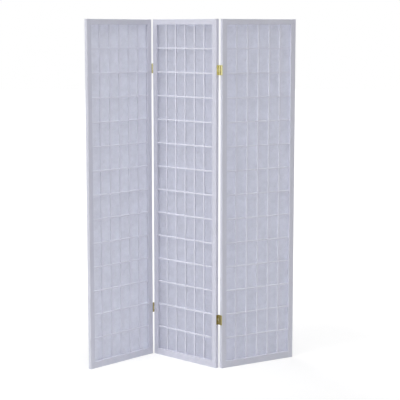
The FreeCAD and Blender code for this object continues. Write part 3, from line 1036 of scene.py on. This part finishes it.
class ScreenHinges(bpy.types.PropertyGroup):
    """The brass hinges, their screws and the hidden dowels."""
    brass: colour_setting("Brass", "Colour of the brass plate", (0.70, 0.66, 0.37))
    # This dark colour serves both the real tarnish patches and the painted shade that darkens the brass and
    # screws towards the floor.
    tarnish_and_painted_shade: colour_setting("Brass Tarnish And Painted Shade", "Colour of the dull patches", (0.26, 0.20, 0.06))
    screw: colour_setting("Screws", "Colour of the screws", (0.46, 0.41, 0.22))
    roughness: share_setting("Brass Roughness", "How matt the brass is", 0.28)
    tarnish: share_setting("Brass Tarnish", "How dark the dull patches on the plates are", 0.35)
    screw_roughness: share_setting("Screw Roughness", "How matt the screws are", 0.34)
    screw_tarnish: share_setting("Screw Tarnish", "How dark the dull patches on the screws are", 0.6)
    screw_diameter: length_setting("Screw Diameter", "Diameter of a screw's shank", 0.003)
    screw_point: length_setting("Screw Point", "Length of a screw's point", 0.003)
    recess_length: length_setting("Recess Length", "Length of each arm of the cross in a screw's head", 0.003)
    recess_width: length_setting("Recess Width", "Width of each arm of the cross", 0.0008)
    recess_depth: length_setting("Recess Depth", "Depth of the cross", 0.0009)
    dowel_wood: colour_setting("Dowels", "Colour of the dowels' beech", (0.60, 0.42, 0.25))


class ScreenStudio(bpy.types.PropertyGroup):
    """The floor, the lights and the camera."""
    ambient: FloatProperty(name="Ambient", description="Strength of the even light", default=0.10, min=0.0)
    lamp_distance: length_setting("Lamp Distance", "Distance of the lamps from the screen", 7.0)
    key_azimuth: angle_setting("Key Azimuth", "Angle of the key light to the camera's left", 51)
    key_elevation: angle_setting("Key Elevation", "Height of the key light as an angle", 20)
    key_size: length_setting("Key Size", "Side of the key light", 2.2)
    key_power: power_setting("Key Power", "Power of the key light", 152.0)
    front_azimuth: angle_setting("Front Azimuth", "Angle of the front fill light to the camera's left", 12)
    front_elevation: angle_setting("Front Elevation", "Height of the front fill light as an angle", 12)
    front_size: length_setting("Front Size", "Side of the front fill light", 3.0)
    front_power: power_setting("Front Power", "Power of the front fill light", 25.0)
    right_azimuth: angle_setting("Right Azimuth", "Angle of the right fill light to the camera's left", -65)
    right_elevation: angle_setting("Right Elevation", "Height of the right fill light as an angle", 15)
    right_size: length_setting("Right Size", "Side of the right fill light", 3.8)
    right_power: power_setting("Right Power", "Power of the right fill light", 30.0)
    back_azimuth: angle_setting("Back Azimuth", "Angle of the back light to the camera's left", 152)
    back_elevation: angle_setting("Back Elevation", "Height of the back light as an angle", 30)
    back_size: length_setting("Back Size", "Side of the back light", 3.8)
    back_power: power_setting("Back Power", "Power of the back light", 218.0)
    top_azimuth: angle_setting("Top Azimuth", "Angle of the top light to the camera's left", 0)
    top_elevation: angle_setting("Top Elevation", "Height of the top light as an angle", 80)
    top_size: length_setting("Top Size", "Side of the light overhead", 4.0)
    top_power: power_setting("Top Power", "Power of the light overhead", 395.0)
    floor_colour: colour_setting("Floor", "Colour of the floor", (0.86, 0.86, 0.86))
    floor_radius: length_setting("Floor Radius", "Radius of the floor", 30.0)
    shadow_reach: length_setting("Shadow Reach", "Distance at which the floor begins to fade to white", 1.1)
    whiteness: share_setting("Whiteness", "How white the floor looks close to the screen", 0.5)
    floor_glow: FloatProperty(name="Floor Glow", description="White that the camera sees in the floor",
                              default=1.2, min=0.0)
    lens: FloatProperty(name="Lens", description="Focal length", default=110.4, unit="CAMERA")
    camera_side: FloatProperty(name="Camera Side", description="Camera's place across", default=0.050,
                               unit="LENGTH")
    camera_distance: length_setting("Camera Distance", "Camera's distance in front", 6.3044)
    camera_height: length_setting("Camera Height", "Camera's height over the floor", 1.7264)
    camera_pitch: angle_setting("Camera Pitch", "How far the camera looks down", 7.856)
    camera_yaw: angle_setting("Camera Turn", "How far the camera turns to its left", 0.091)


# ---- Operators ----

class FOLDING_SCREEN_OT_frames(bpy.types.Operator):
    """Make the stiles and rails of all three panels"""
    bl_idname = "folding_screen.frames"
    bl_label = "Make Frames"

    def execute(self, context):
        wood = context.scene.screen_wood
        material = painted_wood_material("White Painted Wood", wood.paint, wood)
        tree = notched_bar_tree()
        for number, side in enumerate(SIDES):
            meshes = {
                "left_stile": stile_mesh(tree, "left_stile", True, wood, material, 10 * number + 1),
                "right_stile": stile_mesh(tree, "right_stile", False, wood, material, 10 * number + 2),
                "top_rail": rail_mesh(tree, "top_rail", True, wood, material, 10 * number + 3),
                "bottom_rail": rail_mesh(tree, "bottom_rail", False, wood, material, 10 * number + 4),
            }
            for piece, mesh in meshes.items():
                name = side + "_painted_" + piece
                add_piece(name, mesh, side, side + "_" + piece)
        return {"FINISHED"}


class FOLDING_SCREEN_OT_lattices(bpy.types.Operator):
    """Make the strips of all three lattices"""
    bl_idname = "folding_screen.lattices"
    bl_label = "Make Lattices"

    def execute(self, context):
        wood = context.scene.screen_wood
        # Painted light: this lighter white stands in for highlights on the strips' sides and makes up for the
        # shade in their recess.
        material = painted_wood_material("White Lattice Paint", wood.lattice_paint_with_painted_light, wood)
        tree = notched_bar_tree()
        for number, side in enumerate(SIDES):
            meshes = {
                "lattice_uprights": strips_mesh(tree, "uprights", True, wood, material, 10 * number + 5),
                "lattice_crossbars": strips_mesh(tree, "crossbars", False, wood, material, 10 * number + 6),
            }
            for piece, mesh in meshes.items():
                name = side + "_painted_" + piece
                add_piece(name, mesh, side, side + "_" + piece)
        return {"FINISHED"}


class FOLDING_SCREEN_OT_paper(bpy.types.Operator):
    """Make the paper of all three panels"""
    bl_idname = "folding_screen.paper"
    bl_label = "Make Paper"

    def execute(self, context):
        paper = context.scene.screen_paper
        material = rice_paper_material(paper)
        for number, side in enumerate(SIDES):
            mesh = paper_mesh(side + "_paper_sheet", paper, number + 1)
            mesh.materials.append(material)
            sheet = add_piece(side + "_paper_sheet", mesh, side, side + "_paper")
        return {"FINISHED"}


class FOLDING_SCREEN_OT_hinges(bpy.types.Operator):
    """Finish the hinges in brass"""
    bl_idname = "folding_screen.hinges"
    bl_label = "Finish Hinges"

    def execute(self, context):
        hinge = context.scene.screen_hinges
        brass = metal_material("Bright Brass", hinge.brass, hinge.tarnish_and_painted_shade, hinge.roughness,
                               hinge.tarnish)
        for node in frame["nodes"]:
            if "_hinge_" in node and not node.endswith("_screws"):
                paint_node(node, brass)
        return {"FINISHED"}


class FOLDING_SCREEN_OT_screws(bpy.types.Operator):
    """Make the countersunk cross-head screws of the hinge leaves"""
    bl_idname = "folding_screen.screws"
    bl_label = "Make Screws"

    def execute(self, context):
        hinge = context.scene.screen_hinges
        material = metal_material("Screw Brass", hinge.screw, hinge.tarnish_and_painted_shade, hinge.screw_roughness,
                                  hinge.screw_tarnish)
        tree = screw_tree()
        for junction, leaf, side, outward in LEAVES:
            for height in HEIGHTS:
                node = f"{junction}_{height}_hinge_{leaf}_leaf_screws"
                mesh = screws_mesh(tree, node + "_mesh", side, node, outward, hinge, material)
                add_piece(f"{junction}_{height}_cross_head_screws_{leaf}", mesh, side, node)
        return {"FINISHED"}


class FOLDING_SCREEN_OT_dowels(bpy.types.Operator):
    """Finish the hidden dowels in bare beech"""
    bl_idname = "folding_screen.dowels"
    bl_label = "Finish Dowels"

    def execute(self, context):
        beech = beech_material(context.scene.screen_hinges)
        for side in SIDES:
            paint_node(side + "_dowels", beech)
        return {"FINISHED"}


class FOLDING_SCREEN_OT_studio(bpy.types.Operator):
    """Set up the floor, the lights and the camera"""
    bl_idname = "folding_screen.studio"
    bl_label = "Set Up Studio"

    def execute(self, context):
        studio = context.scene.screen_studio
        studio_world(studio)
        add_floor(studio)
        for lamp in LAMPS:
            add_lamp(studio, lamp)
        add_camera(studio)
        context.scene.view_settings.view_transform = "Standard"
        return {"FINISHED"}


class VIEW3D_PT_folding_screen(bpy.types.Panel):
    """Lists the steps that finish the screen, and their settings"""
    bl_label = "Folding Screen"
    bl_idname = "VIEW3D_PT_folding_screen"
    bl_space_type = "VIEW_3D"
    bl_region_type = "UI"
    bl_category = "Screen"

    def draw(self, context):
        steps = self.layout.column(align=True)
        for operator in OPERATORS:
            steps.operator(operator.bl_idname)
        for label in SETTINGS:
            box = self.layout.box()
            settings = getattr(context.scene, label)
            for name in settings.__annotations__:
                box.prop(settings, name)


OPERATORS = (
    FOLDING_SCREEN_OT_frames,
    FOLDING_SCREEN_OT_lattices,
    FOLDING_SCREEN_OT_paper,
    FOLDING_SCREEN_OT_hinges,
    FOLDING_SCREEN_OT_screws,
    FOLDING_SCREEN_OT_dowels,
    FOLDING_SCREEN_OT_studio,
)
SETTINGS = {
    "screen_wood": ScreenWood,
    "screen_paper": ScreenPaper,
    "screen_hinges": ScreenHinges,
    "screen_studio": ScreenStudio,
}


def register():
    for label, group in SETTINGS.items():
        bpy.utils.register_class(group)
        setattr(bpy.types.Scene, label, PointerProperty(type=group))
    for operator in OPERATORS:
        bpy.utils.register_class(operator)
    bpy.utils.register_class(VIEW3D_PT_folding_screen)


def unregister():
    bpy.utils.unregister_class(VIEW3D_PT_folding_screen)
    for operator in reversed(OPERATORS):
        bpy.utils.unregister_class(operator)
    for label, group in SETTINGS.items():
        delattr(bpy.types.Scene, label)
        bpy.utils.unregister_class(group)


def main():
    """Make and finish every piece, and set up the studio."""
    register()
    bpy.ops.folding_screen.frames()
    bpy.ops.folding_screen.lattices()
    bpy.ops.folding_screen.paper()
    bpy.ops.folding_screen.hinges()
    bpy.ops.folding_screen.screws()
    bpy.ops.folding_screen.dowels()
    bpy.ops.folding_screen.studio()


if __name__ == "__main__":
    main()
